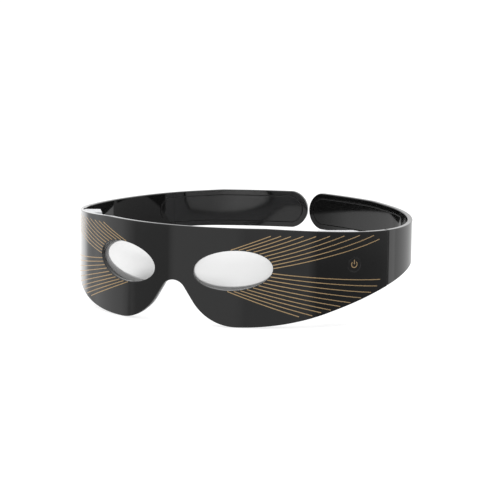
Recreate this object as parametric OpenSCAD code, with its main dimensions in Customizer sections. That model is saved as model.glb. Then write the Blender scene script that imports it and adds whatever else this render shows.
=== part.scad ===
// Light-therapy eye mask: a visor with two springy arms that close behind the head.
// The visor faces -Y, the wearer's left is +X, and Z = 0 is the foot of the cheek lobes.
// "Station" is the distance in mm from the nose, measured along the outer surface.
// "Depth" is the distance in mm inwards from the outer surface.

/* [Band plan] */
// Height from the foot of the cheek lobes to the brow edge
band_h = 47.5; // [42:0.5:56]
// Outer radius of the front curve
front_r = 92; // [80:1:112]
// Half sweep of the front curve, in degrees
front_sweep = 54; // [50:1:58]
// Outer radius of the temple curves
temple_r = 61.5; // [54:0.5:74]
// Sweep of each temple curve, in degrees
temple_sweep = 92; // [88:1:96]
// Outer radius of the rear curves
rear_r = 165; // [140:5:200]
// Gap between the two arm tips
tip_gap = 2; // [1.8:0.2:6]
// Heading of the seam between visor and arm, in degrees
seam_heading = 77.5; // [72:0.5:84]

/* [Top edge] */
// How far the top edge dips at the temples
saddle_dip = 3.4; // [1:0.2:5]
// Distance from the front where the dip begins
saddle_start = 11; // [6:1:20]
// Length of the dip, front to back
saddle_length = 123; // [100:1:130]

/* [Lower edge] */
// Height of the visor over the nose arch
bridge_h = 26.4; // [22:0.2:30]
// Radius of the nose arch
arch_r = 7; // [5:0.5:9]
// Station of the lowest point of a cheek lobe
lobe_s = 31.8; // [28:0.2:36]
// Radius of the lobe on its nose side
lobe_r = 26; // [22:0.5:30]
// Radius of the lobe on its temple side
cheek_r = 154; // [120:1:180]
// Station where the lower edge of the arm becomes level
shoulder_s = 203; // [190:1:215]
// Radius of the shoulder between cheek sweep and arm
shoulder_r = 370; // [300:5:420]
// Height of the arm at its rear end
arm_h = 19.2; // [16:0.2:24]

/* [Walls] */
// Wall of the visor shell
shell_t = 1.8; // [1.4:0.1:2.4]
// Thickness of the arms and of the shell's seam block
arm_t = 2.6; // [2.2:0.1:3.4]
// Wall of the inner liner
liner_wall = 1.4; // [1:0.1:2]
// Reach of the liner's lip inwards from the shell's inner wall
lip_reach = 3; // [2.8:0.1:3.6]
// Reach of the liner's raised inner face inwards from the shell's inner wall
face_reach = 5.4; // [4.8:0.1:7]
// Drop of the raised face from the brow edge
face_top = 2.1; // [1.5:0.1:3]
// Distance of the raised face from the lower edge
face_low = 3; // [2:0.1:4]
// Reach of a pod forward of the power key
pod_reach = 17; // [15:0.5:20]
// How far the liner's lip stands back from the shell's brow edge
lip_top = 0.5; // [0.2:0.1:1]
// How far the liner's lip stands back from the shell's lower edge
lip_low = 1; // [0.5:0.1:1.5]
// Distance from the liner's rear end to the seam
liner_to_seam = 15; // [13:0.5:18]

/* [Eye openings] */
// Station of the eye centre
eye_s = 29.5; // [28:0.5:33]
// Drop of the eye centre below the brow edge
eye_drop = 20.2; // [19:0.2:22]
// Half width of the opening
eye_a = 19.2; // [17:0.2:20.5]
// Half height of the opening
eye_b = 9.6; // [8:0.2:10.5]
// Tilt of the opening, outer corner up, in degrees
eye_tilt = 4.2; // [0:0.2:8]
// Step from the shell's opening back to the eye cup
cup_step = 0.3; // [0.2:0.1:0.6]
// Wall of the eye cup
cup_wall = 1.4; // [1:0.1:2]
// How far the eye window lies behind the shell's inner wall
window_set = 2.4; // [2.2:0.1:4.5]
// Thickness of the eye window
window_t = 1; // [0.8:0.1:1.5]

/* [Power key] */
// Distance from the key to the seam
key_to_seam = 22; // [20:0.5:24]
// Drop of the key below the brow edge
key_drop = 18.1; // [16:0.1:20]
// Diameter of the key
key_d = 6.7; // [5:0.1:8]
// Travel of the key
key_travel = 0.4; // [0.25:0.05:0.5]
// Radial gap between key and shell
key_gap = 0.1; // [0.06:0.01:0.15]
// Outer radius of the symbol on the key
symbol_r = 1.75; // [1.5:0.05:2.4]
// Line width of the symbol
symbol_w = 0.45; // [0.4:0.05:0.8]

/* [Arm covers] */
// Length of the cover let into the inner face of an arm
cover_length = 78; // [60:1:84]
// Margin of the cover's recess from the edges of the arm
cover_margin = 2.6; // [2:0.1:4]
// Depth of the recess floor
cover_floor = 1.5; // [1.4:0.1:1.8]
// Gap round the cover
cover_gap = 0.25; // [0.15:0.05:0.4]

/* [Electronics] */
// Thickness of the light boards
board_t = 0.4; // [0.3:0.1:0.8]
// Gap between the shell's inner wall and the light boards
board_gap = 1.6; // [1.4:0.1:2]
// Number of lights in the ring round each eye
ring_count = 18; // [12:2:20]
// Size of a light: width, thickness and height
light_size = [3, 0.8, 1.4];
// Thickness of the battery
battery_t = 4.8; // [4.4:0.1:6]
// Thickness of the foam that holds the battery in its pod
foam_t = 0.7; // [0.5:0.1:1.5]
// Thickness of the main board
main_t = 0.8; // [0.6:0.1:1]

/* [Hidden] */
$fn = 96;
DEG = 180 / PI;
fit = 0.05;
reach = 200;
lap = 0.3;
hair = 0.01;

front_s = front_r * front_sweep / DEG;
temple_s = front_s + temple_r * temple_sweep / DEG;
rear_heading = front_sweep + temple_sweep;
seam_s = front_s + temple_r * (seam_heading - front_sweep) / DEG;

// Plan centres, with the nose at y = 0 first and the ring then centred about the origin
temple_raw = [front_r * sin(front_sweep) - temple_r * sin(front_sweep),
              front_r - (front_r - temple_r) * cos(front_sweep)];
rear_raw = temple_raw + (temple_r - rear_r) * [sin(rear_heading), -cos(rear_heading)];
tip_heading = 180 - asin((tip_gap / 2 - rear_raw.x) / rear_r);
tip_s = temple_s + rear_r * (tip_heading - rear_heading) / DEG;
ring_depth = rear_raw.y - rear_r * cos(tip_heading);
front_y = -ring_depth / 2;
front_c = [0, front_y + front_r];
temple_c = temple_raw + [0, front_y];
rear_c = rear_raw + [0, front_y];

saddle_r = (pow(saddle_length / 2, 2) + pow(saddle_dip, 2)) / (2 * saddle_dip);
saddle_y = front_y + saddle_start + saddle_length / 2;
arm_z = band_h - arm_h;
arch_c = [0, band_h - bridge_h - arch_r];

lip_depth = shell_t + lip_reach;
liner_depth = shell_t + face_reach;
board_depth = shell_t + board_gap;
window_depth = shell_t + window_set;

liner_s = seam_s - liner_to_seam;
key_s = seam_s - key_to_seam;
key_z = band_h - key_drop;
eye_z = band_h - eye_drop;
window_step = cup_step + 0.7;
cup_grow = cup_step + cup_wall;
cup_depth = liner_depth + 0.8;
pod_front = key_s - pod_reach;
board_in = 3;
board_out = pod_front - 6;
board_inset = 4;
light_depth = board_depth + board_t + 0.03;
board_post_spots = [[16, eye_z + 13], [46, eye_z + 13], [24, 8.6], [54, eye_z - 10]];
lip_web = 0.8;

// Stack behind the power key, as depths at the key
flange_y = shell_t + 0.25;
flange_t = 0.45;
plunger_y = flange_y + flange_t;
switch_y = plunger_y + key_travel + 0.15;
switch_t = 1.2;
main_y = switch_y + switch_t + fit;

// Contents of the temple pods, in the frame of the key
cell_x = [-15, 4.5];
cell_z = [band_h - 28, band_h - 8.5];
cell_y = shell_t + 1.7;
pod_depth = cell_y + battery_t + fit + foam_t + fit + liner_wall;
post_y = shell_t + 4.7;
screw_r = 0.8;
head_r = 1.45;
head_t = 0.75;
post_r = 1.8;
screw_spots = [[-5, band_h - 6.4], [1.5, band_h - 30.4]];
main_post_spots = [[-12, band_h - 11], [3, band_h - 26]];
cell_post_spots = [[-13, band_h - 11], [-13, band_h - 25], [3, band_h - 18]];
port_size = [8.94, 3.2, 7.3];
port_wall = 0.3;
port_x = -8;
port_y = main_y + main_t + fit + port_size.y / 2;
port_z = band_h - 37.2;
spring_t = 0.3;
spring_depth = 1.15;
spring_h = 8;
spring_z = band_h - 13;
spring_root = 12;
spring_end = tip_s - 11;
strap_depth = board_depth + board_t + fit;
strap_t = 0.2;
tip_round = arm_h / 2 + 0.15;

// Heading of the band at station s, in degrees from the nose
function heading(s) =
    s < front_s ? s / front_r * DEG
    : s < temple_s ? front_sweep + (s - front_s) / temple_r * DEG
    : rear_heading + (s - temple_s) / rear_r * DEG;
function centre(s) = s < front_s ? front_c : s < temple_s ? temple_c : rear_c;
function radius(s) = s < front_s ? front_r : s < temple_s ? temple_r : rear_r;
// Plan point at station s on the outer surface
function point(s) = centre(s) + radius(s) * [sin(heading(s)), -cos(heading(s))];

// Ends of the straight that joins a round arch over centre a to a round hollow under centre b
function tangent_angle(a, ra, b, rb) =
    atan2(b.y - a.y, b.x - a.x) + acos(min(1, (ra + rb) / norm(b - a)));
function arch_end(a, ra, b, rb) =
    let (u = tangent_angle(a, ra, b, rb)) a + ra * [cos(u), sin(u)];
function hollow_end(a, ra, b, rb) =
    let (u = tangent_angle(a, ra, b, rb)) b - rb * [cos(u), sin(u)];

lobe_c = [lobe_s, lobe_r];
nose_a = arch_end(arch_c, arch_r, lobe_c, lobe_r);
nose_b = hollow_end(arch_c, arch_r, lobe_c, lobe_r);
// The sweep from cheek to arm is the same shape run backwards
shoulder_c = [-shoulder_s, arm_z - shoulder_r];
cheek_c = [-lobe_s, cheek_r];
sweep_b = arch_end(shoulder_c, shoulder_r, cheek_c, cheek_r);
sweep_a = hollow_end(shoulder_c, shoulder_r, cheek_c, cheek_r);

function ramp(a, b, t) = a.y + (b.y - a.y) * (t - a.x) / (b.x - a.x);
// Height of the lower edge at station s
function low(s) =
    let (t = abs(s))
    t < nose_a.x ? arch_c.y + sqrt(pow(arch_r, 2) - t * t)
    : t < nose_b.x ? ramp(nose_a, nose_b, t)
    : t < lobe_s ? lobe_r - sqrt(pow(lobe_r, 2) - pow(lobe_s - t, 2))
    : t < -sweep_a.x ? cheek_r - sqrt(pow(cheek_r, 2) - pow(t - lobe_s, 2))
    : t < -sweep_b.x ? ramp(sweep_a, sweep_b, -t)
    : t < shoulder_s ? arm_z - shoulder_r + sqrt(pow(shoulder_r, 2) - pow(shoulder_s - t, 2))
    : arm_z;
// Height of the top edge at station s
function top(s) =
    let (y = point(s).y - saddle_y)
    abs(y) > saddle_length / 2 ? band_h : band_h - saddle_dip + saddle_r - sqrt(saddle_r * saddle_r - y * y);
// Point of the lower edge moved square to the edge by inset, as station and height
function edge(s, inset) =
    let (a = atan((low(s + 0.02) - low(s - 0.02)) / 0.04)) [s - inset * sin(a), low(s) + inset * cos(a)];

function oval(a, b, tilt, n) = [for (i = [0:n - 1]) let (t = i * 360 / n)
    [a * cos(t) * cos(tilt) - b * sin(t) * sin(tilt), a * cos(t) * sin(tilt) + b * sin(t) * cos(tilt)]];
function stadium(w, h, n) = [for (side = [1, -1], i = [0:n]) let (t = (i / n - 0.5) * 180)
    side * [(w - h) / 2 + h / 2 * cos(t), h / 2 * sin(t)]];

module both_sides() {
    children();
    mirror([1, 0, 0]) children();
}

// Local frame on the band: x along the band, y inwards, z up
module at(s) {
    translate([point(s).x, point(s).y, 0]) rotate([0, 0, heading(s)]) children();
}

// Cylinder along the inward normal, from depth y0 to y1, at height z
module pin(r, y0, y1, z) {
    translate([0, y0, z]) rotate([-90, 0, 0]) cylinder(r = r, h = y1 - y0);
}

// Block in a local frame, from corner a to corner b
module block(a, b) {
    translate(a) cube(b - a);
}

// Full-height piece of one plan arc, between two headings and two depths
module sector(c, r, h0, h1, d0, d1) {
    translate([c.x, c.y, -2]) rotate([0, 0, h0 - 90])
        rotate_extrude(angle = h1 - h0, $fn = 360) translate([r - d1, 0]) square([d1 - d0, band_h + 4]);
}

// Each arc laps into the one before it and is thinner by a hair on both faces
module temple_sector(s0, s1, d0, d1) {
    sector(temple_c, temple_r, s0 < front_s ? front_sweep - lap : heading(s0),
           heading(min(s1, temple_s)), d0 + hair, d1 - hair);
}
module rear_sector(s0, s1, d0, d1) {
    sector(rear_c, rear_r, s0 < temple_s ? rear_heading - lap : heading(s0), heading(s1),
           d0 + 2 * hair, d1 - 2 * hair);
}

// Full-height wall on the wearer's left, between two stations and two depths
module wall(s0, s1, d0, d1) {
    if (s0 < front_s)
        sector(front_c, front_r, heading(s0), heading(min(s1, front_s)), d0, d1);
    if (s0 < temple_s && s1 > front_s) temple_sector(s0, s1, d0, d1);
    if (s1 > temple_s) rear_sector(s0, s1, d0, d1);
}

// Full-height wall across the nose to station s1 on both sides
module front_wall(s1, d0, d1) {
    h = min(heading(s1), front_sweep);
    sector(front_c, front_r, -h, h, d0, d1);
    if (s1 > front_s) both_sides() temple_sector(0, s1, d0, d1);
}

// Everything above the top edge lowered by inset
module above(inset) {
    translate([-reach, -reach, band_h - inset]) cube([2 * reach, 2 * reach, 20]);
    translate([-reach, saddle_y, band_h - saddle_dip + saddle_r]) rotate([0, 90, 0])
        cylinder(r = saddle_r + inset, h = 2 * reach, $fn = 360);
}

split_s = 46;
front_steps = concat([for (s = [0:1:15]) s], [for (i = [-3:3]) lobe_s + 4 * i]);
side_steps = concat([for (s = [split_s - 3:6:202]) s], [tip_s + 6]);

// Everything below the lower edge raised by inset
module below(inset) {
    half = [for (s = front_steps) edge(s, inset)];
    last = edge(split_s, inset);
    left = [for (p = concat(half, [last])) [point(max(p.x, 0)).x, p.y]];
    right = [for (i = [len(left) - 1:-1:1]) [-left[i].x, left[i].y]];
    outline = concat(right, left, [[left[len(left) - 1].x, -5], [right[0].x, -5]]);
    translate([0, point(last.x).y + 0.5, 0]) rotate([90, 0, 0])
        linear_extrude(height = point(last.x).y - front_y + 5) polygon(outline);
    side = [for (s = side_steps) let (p = edge(s, inset)) [point(p.x).y, p.y]];
    side_outline = concat(side, [[side[len(side) - 1].x, -5], [side[0].x, -5]]);
    translate([-reach, 0, 0]) rotate([90, 0, 90]) linear_extrude(height = 2 * reach) polygon(side_outline);
}

module trimmed(top_inset, low_inset) {
    difference() {
        children();
        above(top_inset);
        below(low_inset);
    }
}

// Oval prism square to the band at the wearer's left eye
module eye_prism(grow) {
    at(eye_s) translate([0, -6, eye_z]) rotate([-90, 0, 0]) linear_extrude(height = 24)
        polygon([for (p = oval(eye_a + grow, eye_b + grow, eye_tilt, 56)) [p.x, -p.y]]);
}

// Bosses on the shell's inner wall that carry a light board
module board_posts() {
    intersection() {
        for (p = board_post_spots) at(p[0]) pin(1.4, shell_t - 0.2, board_depth + 1, p[1]);
        wall(board_in, board_out, shell_t - 0.1, board_depth - fit);
    }
}

// Bosses in a pod, at spots in the frame of the key, that reach from the shell to depth y
module pod_posts(spots, y, r) {
    difference() {
        at(key_s) for (p = spots) translate([p[0], 0, 0]) pin(r, -2, y, p[1]);
        wall(key_s - 26, seam_s, -6, shell_t - 0.1);
    }
}

// Frame at each screw of the wearer's left pod
module at_screws() {
    at(key_s) for (p = screw_spots) translate([p[0], 0, p[1]]) children();
}

// The temple curve carried on across the whole key
module key_face(depth) {
    sector(temple_c, temple_r, heading(key_s) - 8, heading(key_s) + 8, hair, depth);
}

// Power symbol, drawn flat: an open ring and a bar
module symbol_shape(grow) {
    difference() {
        circle(r = symbol_r + grow);
        circle(r = symbol_r - symbol_w - grow);
        polygon([[0, 0], [-2.8, 3], [2.8, 3]]);
    }
    translate([-symbol_w / 2 - grow, -grow]) square([symbol_w + 2 * grow, symbol_r + 0.5 + 2 * grow]);
}

module key_pocket(grow) {
    at(key_s) translate([0, 0.3 + grow, key_z]) rotate([90, 0, 0]) linear_extrude(height = 2)
        symbol_shape(grow);
}

module front_shell() {
    color([0.07, 0.07, 0.075]) difference() {
        union() {
            trimmed(0, 0) {
                front_wall(seam_s - fit, 0, shell_t);
                both_sides() wall(seam_s - liner_to_seam + 1, seam_s - fit, shell_t - 0.2, arm_t);
            }
            both_sides() board_posts();
            both_sides() pod_posts(screw_spots, post_y, post_r);
            pod_posts(main_post_spots, main_y - fit, 1.2);
            mirror([1, 0, 0]) pod_posts(cell_post_spots, cell_y - fit, 1.2);
        }
        both_sides() eye_prism(0);
        at(key_s) pin(key_d / 2 + key_gap, -2, 8, key_z);
        both_sides() at_screws() pin(screw_r + 0.02, shell_t + 0.8, post_y + 1, 0);
        both_sides() intersection() {
            wall(seam_s - spring_root - fit, seam_s, spring_depth - fit, spring_depth + spring_t + fit);
            spring_slab(fit);
        }
    }
}

// Horizontal slab that holds the spring strips
module spring_slab(grow) {
    translate([-reach, -reach, spring_z - spring_h / 2 - grow])
        cube([2 * reach, 2 * reach, spring_h + 2 * grow]);
}

// Thick part of the liner at the temple, hollowed when skin is over zero
module pod(skin) {
    intersection() {
        at(key_s) block([-pod_reach + skin, -6, -2], [14, pod_depth - skin, band_h + 2]);
        wall(pod_front - 4, liner_s - skin, skin > 0 ? 0 : shell_t + fit, pod_depth + 4);
    }
}

module liner_solid() {
    trimmed(lip_top, lip_low) {
        front_wall(liner_s, shell_t + fit, lip_depth);
        both_sides() pod(0);
    }
    trimmed(face_top, face_low) front_wall(liner_s, lip_depth - 0.5, liner_depth);
}

module liner_hollow() {
    trimmed(lip_top + liner_wall, lip_low + liner_wall) {
        front_wall(liner_s - liner_wall, 0, lip_depth - lip_web);
        both_sides() pod(liner_wall);
    }
    trimmed(face_top + liner_wall, face_low + liner_wall)
        front_wall(liner_s - liner_wall, shell_t + 1, liner_depth - liner_wall);
}

module face_liner() {
    color([0.78, 0.78, 0.8]) difference() {
        union() {
            difference() {
                liner_solid();
                liner_hollow();
            }
            both_sides() at_screws() pin(post_r, post_y + fit, pod_depth - 0.5, 0);
        }
        both_sides() eye_prism(cup_grow + 0.1);
        both_sides() at_screws() {
            pin(screw_r + 0.1, post_y - 2, pod_depth + 2, 0);
            pin(head_r + 0.1, pod_depth - head_t - 0.15, pod_depth + 2, 0);
        }
        at(key_s) translate([port_x, port_y, port_z - 8]) linear_extrude(height = 12)
            polygon(stadium(port_size.x + 0.3, port_size.y + 0.3, 10));
    }
}

module eye_cup() {
    intersection() {
        difference() {
            eye_prism(cup_grow);
            eye_prism(cup_step);
            intersection() {
                eye_prism(window_step);
                wall(0, front_s, window_depth, pod_depth);
            }
        }
        wall(0, front_s, shell_t + fit, cup_depth);
    }
}

module eye_window() {
    intersection() {
        eye_prism(window_step - fit);
        wall(0, front_s, window_depth + fit, window_depth + window_t);
    }
}

module light_board() {
    difference() {
        trimmed(board_inset, board_inset)
            wall(board_in, board_out, board_depth, board_depth + board_t);
        eye_prism(cup_grow + 0.6);
    }
}

// Lights as station and height: a ring round the eye, a cheek row and a temple column
ring = [for (p = oval(eye_a + 5, eye_b + 5, eye_tilt, ring_count)) [eye_s + p.x, eye_z + p.y]];
// Station of the outer surface straight ahead of a point on the front curve at this depth
function ahead(s, depth) = front_s / front_sweep * asin((1 - depth / front_r) * sin(heading(s)));
// Least distance from a point, as station and height, to the lower edge
function edge_distance(p) = min([for (i = [-12:12]) norm([i / 2, low(p.x + i / 2) - p.y])]);
// Whether both lower corners of a light at p clear the wall of the liner's raised face
function has_room(p) =
    min([for (side = [-1, 1]) edge_distance([ahead(p.x + side * light_size.x / 2, light_depth + light_size.y),
                                             p.y - light_size.z / 2])]) > face_low + liner_wall + 0.3;
cheek_row = [for (i = [0:3]) [24 + 8 * i, 8.2]];
temple_column = [for (i = [-1:1]) [board_out - 8.5, eye_z + 9 * i]];

module lights(spots) {
    for (p = spots) at(p[0]) translate([0, light_depth + light_size.y / 2, p[1]])
        cube(light_size, center = true);
}

module red_lights() {
    lights(concat([for (i = [0:2:ring_count - 1]) if (has_room(ring[i])) ring[i]], cheek_row));
}

module infrared_lights() {
    lights(concat([for (i = [1:2:ring_count - 1]) if (has_room(ring[i])) ring[i]], temple_column));
}

module bridge_cable() {
    color([0.75, 0.5, 0.25]) intersection() {
        front_wall(9, board_depth - fit - strap_t, board_depth - fit);
        translate([-20, -reach, band_h - 13]) cube([40, reach, 7]);
    }
}

// Flat strap from a light board back to a pod
module strap(end) {
    intersection() {
        wall(board_out - 5, end, strap_depth, strap_depth + strap_t);
        translate([-reach, -reach, band_h - 24]) cube([2 * reach, 2 * reach, 5]);
    }
}

module board_strap() {
    color([0.75, 0.5, 0.25]) strap(key_s - 14.75);
}

module battery_strap() {
    color([0.75, 0.5, 0.25]) mirror([1, 0, 0]) strap(key_s + cell_x[0] - 0.95);
}

module main_board() {
    color([0.05, 0.25, 0.15]) at(key_s) {
        block([-14, main_y, cell_z[0]], [5, main_y + main_t, cell_z[1]]);
        block([-13, main_y, port_z + 3.3], [-3, main_y + main_t, cell_z[0] + 0.01]);
    }
}

module board_chips() {
    chips = [[[-9, band_h - 14], [5, 5, 0.9]], [[-1, band_h - 13], [3, 3, 0.8]],
             [[-4, band_h - 24.5], [4, 3, 1]], [[1.5, band_h - 20], [3, 3, 1.2]]];
    color([0.12, 0.12, 0.13]) at(key_s) for (c = chips)
        translate([c[0][0] - c[1][0] / 2, main_y + main_t + 0.03, c[0][1] - c[1][1] / 2])
            cube([c[1][0], c[1][2], c[1][1]]);
}

module switch_body() {
    color([0.8, 0.8, 0.82]) at(key_s) difference() {
        block([-2.1, switch_y, key_z - 2.1], [2.1, switch_y + switch_t, key_z + 2.1]);
        pin(1.06, switch_y - 1, switch_y + switch_t - 0.2, key_z);
    }
}

module switch_plunger() {
    color([0.1, 0.1, 0.1]) at(key_s) pin(1, plunger_y + 0.02, plunger_y + 0.9, key_z);
}

module power_key() {
    color([0.07, 0.07, 0.075]) difference() {
        union() {
            intersection() {
                at(key_s) pin(key_d / 2, -2, flange_y + 0.1, key_z);
                key_face(6);
            }
            at(key_s) pin(key_d / 2 + 0.9, flange_y, flange_y + flange_t, key_z);
        }
        key_pocket(0.02);
    }
}

module key_symbol() {
    color([0.72, 0.56, 0.36]) intersection() {
        key_pocket(0);
        key_face(2);
    }
}

module port_shell() {
    color([0.8, 0.8, 0.82]) at(key_s) translate([port_x, port_y, port_z]) difference() {
        linear_extrude(height = port_size.z) polygon(stadium(port_size.x, port_size.y, 10));
        translate([0, 0, -1]) linear_extrude(height = port_size.z)
            polygon(stadium(port_size.x - 2 * port_wall, port_size.y - 2 * port_wall, 10));
    }
}

module port_tongue() {
    color([0.1, 0.1, 0.1]) at(key_s)
        block([port_x - 3.3, port_y - 0.35, port_z + 1.2],
              [port_x + 3.3, port_y + 0.35, port_z + port_size.z - 1 - fit]);
}

module battery() {
    color([0.7, 0.72, 0.75]) mirror([1, 0, 0]) at(key_s)
        block([cell_x[0], cell_y, cell_z[0]], [cell_x[1], cell_y + battery_t, cell_z[1]]);
}

module battery_foam() {
    color([0.2, 0.2, 0.2]) mirror([1, 0, 0]) at(key_s)
        block([cell_x[0] + 2, cell_y + battery_t + fit, cell_z[0] + 2],
              [cell_x[1] - 2, cell_y + battery_t + fit + foam_t, cell_z[1] - 2]);
}

module pod_screws() {
    color([0.55, 0.55, 0.57]) both_sides() at_screws() {
        pin(screw_r, shell_t + 1.2, pod_depth - 0.5, 0);
        pin(head_r, pod_depth - head_t - 0.1, pod_depth - 0.1, 0);
    }
}

module spring(s0, s1) {
    intersection() {
        wall(s0, s1, spring_depth, spring_depth + spring_t);
        spring_slab(0);
    }
}

// Everything past a round end of this radius; turn is 1 for the rear end and -1 for the front end
module past_end(s, r, z, turn) {
    c = s - turn * r;
    difference() {
        wall(min(c, s + turn * 4), max(c, s + turn * 4), -2, arm_t + 2);
        at(c) pin(r, -8, 12, z);
    }
}

// Region of a cover's recess, between two depths
module cover_region(d0, d1, grow) {
    s1 = tip_s - cover_margin + grow;
    s0 = tip_s - cover_margin - cover_length - grow;
    mid0 = (top(s0 + 7) + low(s0 + 7)) / 2;
    mid1 = (top(s1 - 7) + low(s1 - 7)) / 2;
    difference() {
        trimmed(cover_margin - grow, cover_margin - grow) wall(s0 - 0.3, s1 + 0.3, d0, d1);
        past_end(s0, top(s0 + 7) - mid0 - cover_margin + grow + 0.15, mid0, -1);
        past_end(s1, top(s1 - 7) - mid1 - cover_margin + grow + 0.15, mid1, 1);
    }
}

module arm() {
    difference() {
        trimmed(0, 0) wall(seam_s + fit, tip_s + 0.3, 0, arm_t);
        past_end(tip_s, tip_round, band_h - arm_h / 2, 1);
        cover_region(cover_floor, arm_t + 2, 0);
        intersection() {
            wall(seam_s, spring_end + fit, spring_depth - fit, spring_depth + spring_t + 0.15);
            spring_slab(fit);
        }
    }
}

module eye_cup_left() { color([0.42, 0.42, 0.44]) eye_cup(); }
module eye_cup_right() { color([0.42, 0.42, 0.44]) mirror([1, 0, 0]) eye_cup(); }
module eye_window_left() { color([0.95, 0.95, 0.95]) eye_window(); }
module eye_window_right() { color([0.95, 0.95, 0.95]) mirror([1, 0, 0]) eye_window(); }
module light_board_left() { color([0.9, 0.9, 0.88]) light_board(); }
module light_board_right() { color([0.9, 0.9, 0.88]) mirror([1, 0, 0]) light_board(); }
module red_lights_left() { color([0.85, 0.2, 0.15]) red_lights(); }
module red_lights_right() { color([0.85, 0.2, 0.15]) mirror([1, 0, 0]) red_lights(); }
module infrared_lights_left() { color([0.35, 0.3, 0.4]) infrared_lights(); }
module infrared_lights_right() { color([0.35, 0.3, 0.4]) mirror([1, 0, 0]) infrared_lights(); }
module arm_left() { color([0.07, 0.07, 0.075]) arm(); }
module arm_right() { color([0.07, 0.07, 0.075]) mirror([1, 0, 0]) arm(); }
module arm_cover_left() { color([0.09, 0.09, 0.095]) cover_region(cover_floor + 0.1, arm_t - 0.1, -cover_gap); }
module arm_cover_right() { mirror([1, 0, 0]) arm_cover_left(); }
module spring_root_left() { color([0.75, 0.75, 0.77]) spring(seam_s - spring_root, seam_s - fit); }
module spring_root_right() { mirror([1, 0, 0]) spring_root_left(); }
module spring_strip_left() { color([0.75, 0.75, 0.77]) spring(seam_s + fit, spring_end); }
module spring_strip_right() { mirror([1, 0, 0]) spring_strip_left(); }

front_shell();
face_liner();
eye_cup_left();
eye_cup_right();
eye_window_left();
eye_window_right();
light_board_left();
light_board_right();
red_lights_left();
red_lights_right();
infrared_lights_left();
infrared_lights_right();
bridge_cable();
board_strap();
battery_strap();
main_board();
board_chips();
switch_body();
switch_plunger();
power_key();
key_symbol();
port_shell();
port_tongue();
battery();
battery_foam();
pod_screws();
spring_root_left();
spring_root_right();
arm_left();
arm_right();
arm_cover_left();
arm_cover_right();
spring_strip_left();
spring_strip_right();
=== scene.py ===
"""Light-therapy eye mask: the finish of the visor, the arms, the eye windows and the liner."""

from math import acos, asin, atan2, cos, hypot, pi, radians, sin, tan

import bmesh
import bpy
import numpy as np
from mathutils import Matrix, Vector, geometry

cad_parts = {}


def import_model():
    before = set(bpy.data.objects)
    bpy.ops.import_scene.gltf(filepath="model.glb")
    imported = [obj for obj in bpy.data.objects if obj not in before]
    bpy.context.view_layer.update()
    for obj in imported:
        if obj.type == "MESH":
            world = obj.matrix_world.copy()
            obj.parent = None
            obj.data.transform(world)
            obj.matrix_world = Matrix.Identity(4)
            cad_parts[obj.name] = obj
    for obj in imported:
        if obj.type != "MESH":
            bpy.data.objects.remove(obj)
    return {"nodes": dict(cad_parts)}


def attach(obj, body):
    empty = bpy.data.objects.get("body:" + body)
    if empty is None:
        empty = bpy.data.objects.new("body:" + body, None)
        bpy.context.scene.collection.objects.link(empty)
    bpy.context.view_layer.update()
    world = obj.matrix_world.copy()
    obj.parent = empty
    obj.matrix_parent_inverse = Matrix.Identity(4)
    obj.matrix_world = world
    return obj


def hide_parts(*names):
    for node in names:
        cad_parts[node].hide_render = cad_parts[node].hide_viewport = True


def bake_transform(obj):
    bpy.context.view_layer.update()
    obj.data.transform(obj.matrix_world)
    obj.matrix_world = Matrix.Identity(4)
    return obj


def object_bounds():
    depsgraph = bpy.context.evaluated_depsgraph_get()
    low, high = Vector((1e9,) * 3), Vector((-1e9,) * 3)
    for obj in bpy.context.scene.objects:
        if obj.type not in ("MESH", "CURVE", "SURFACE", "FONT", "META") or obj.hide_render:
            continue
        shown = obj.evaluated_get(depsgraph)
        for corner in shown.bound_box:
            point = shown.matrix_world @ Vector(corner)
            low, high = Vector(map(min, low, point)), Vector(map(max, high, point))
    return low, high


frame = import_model()
cad_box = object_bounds()
node = frame["nodes"]
scene = bpy.context.scene
MM = 0.001
Z = np.array([0, 0, 1.0])


def put(name, data):
    """New object in the scene."""
    made = bpy.data.objects.new(name, data)
    scene.collection.objects.link(made)
    return made


# Camera, at the photograph's angle
def camera():
    azimuth, elevation, roll, distance = radians(27.225), radians(8.535), radians(0.695), 1.2
    target = Vector((0, 0.00015, 0.0275))
    back = Vector((sin(azimuth) * cos(elevation), -cos(azimuth) * cos(elevation), sin(elevation)))
    right = Vector((cos(azimuth), sin(azimuth), 0))
    up = back.cross(right)
    right, up = right * cos(roll) + up * sin(roll), up * cos(roll) - right * sin(roll)
    data = bpy.data.cameras.new("camera")
    data.sensor_width, data.lens = 36, 171.45
    data.shift_x, data.shift_y = 0.00932, -0.00686
    data.clip_start, data.clip_end = 0.05, 50
    eye = put("camera", data)
    turn = Matrix((right, up, back)).transposed().to_4x4()
    eye.matrix_world = Matrix.Translation(target + back * distance) @ turn
    scene.camera = eye


camera()

# Driving sizes of the mask, in millimetres and radians
band_h = cad_box[1].z / MM
front_r, front_sweep = 92, radians(54)
temple_r, temple_sweep = 61.5, radians(92)
rear_r = 165
tip_gap = 2
seam_heading = radians(77.5)
saddle_dip, saddle_start, saddle_length = 3.4, 11, 123
bridge_h, arch_r = 26.4, 7
lobe_s, lobe_r, cheek_r = 31.8, 26, 154
shoulder_s, shoulder_r, arm_h = 203, 370, 19.2
shell_t, arm_t, fit = 1.8, 2.6, 0.05
eye_s, eye_drop, eye_a, eye_b, eye_tilt = 29.8, 20.3, 19.2, 9.45, radians(4.9)
key_to_seam, key_drop, key_d, key_gap = 22, 18.1, 6.7, 0.1
lip_top, lip_low, lip_depth, lip_web = 0.5, 1, 4.8, 0.8
face_top, face_low, face_depth, face_soft = 2.1, 3, 7.2, 1.1
liner_wall, liner_to_seam, liner_clear, cavity_soft = 1.4, 15, 0.4, 0.3
pod_depth, pod_reach = 10.5, 17
cup_step, cup_wall, cup_depth, cup_gap = 0.3, 1.4, 8, 0.1
window_t, window_step = 1, 1
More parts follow.
